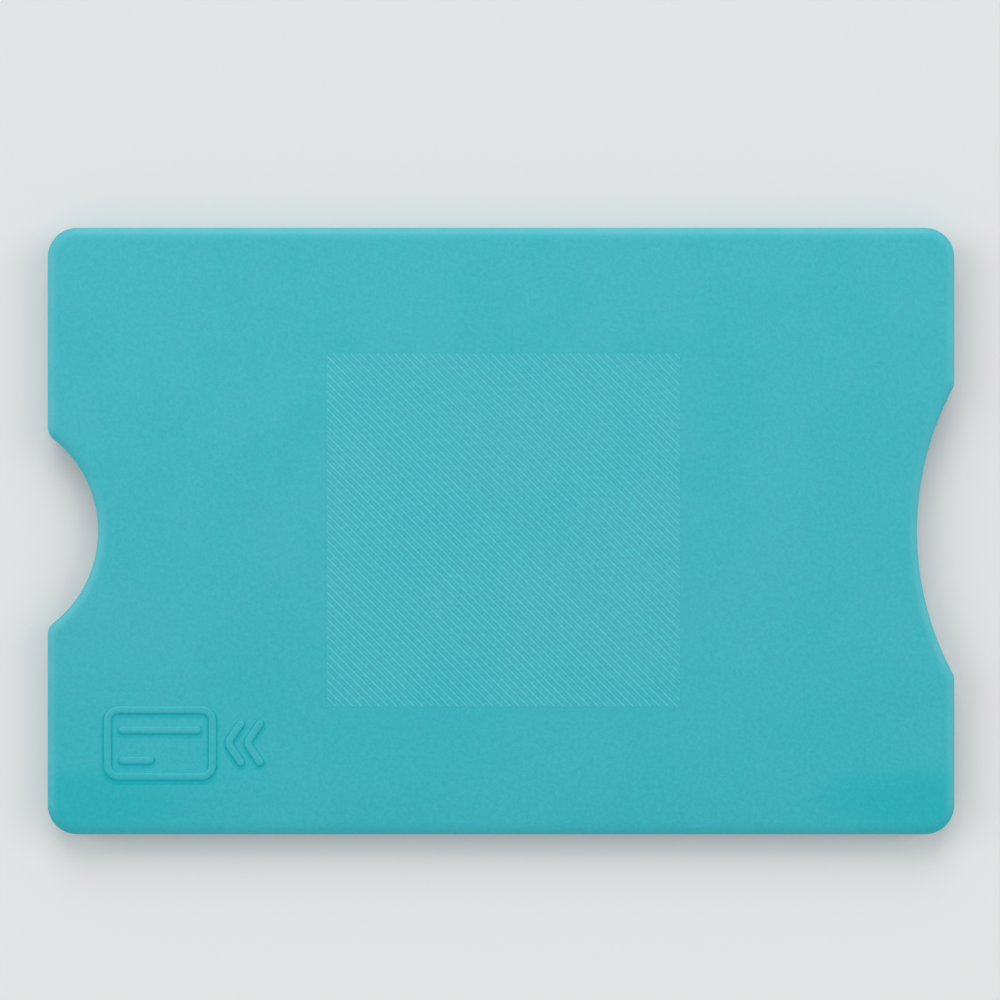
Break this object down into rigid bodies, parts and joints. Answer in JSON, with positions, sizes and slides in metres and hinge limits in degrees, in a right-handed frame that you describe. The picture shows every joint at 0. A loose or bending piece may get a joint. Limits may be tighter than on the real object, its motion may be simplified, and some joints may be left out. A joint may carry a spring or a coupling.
{
  "type": "rfid card sleeve",
  "caption": "Rigid moulded card sleeve with shield sheets on both sides of its pocket, a thumb notch at the closed end and a wide finger cut at the mouth.",
  "frame": {"origin": "centre of the rear face", "axes": "+X runs along the sleeve's length to the open mouth, +Y across it, and +Z out of the front face"},
  "size_m": [0.09, 0.0602, 0.0034],
  "materials": {
    "cover_plastic": "fine matte grain",
    "shield_metal": "rolled foil"
  },
  "bodies": {
    "root": {"rear_cover": "cover_plastic", "front_cover": "cover_plastic", "rear_shield": "shield_metal", "front_shield": "shield_metal"}
  },
  "joints": []
}
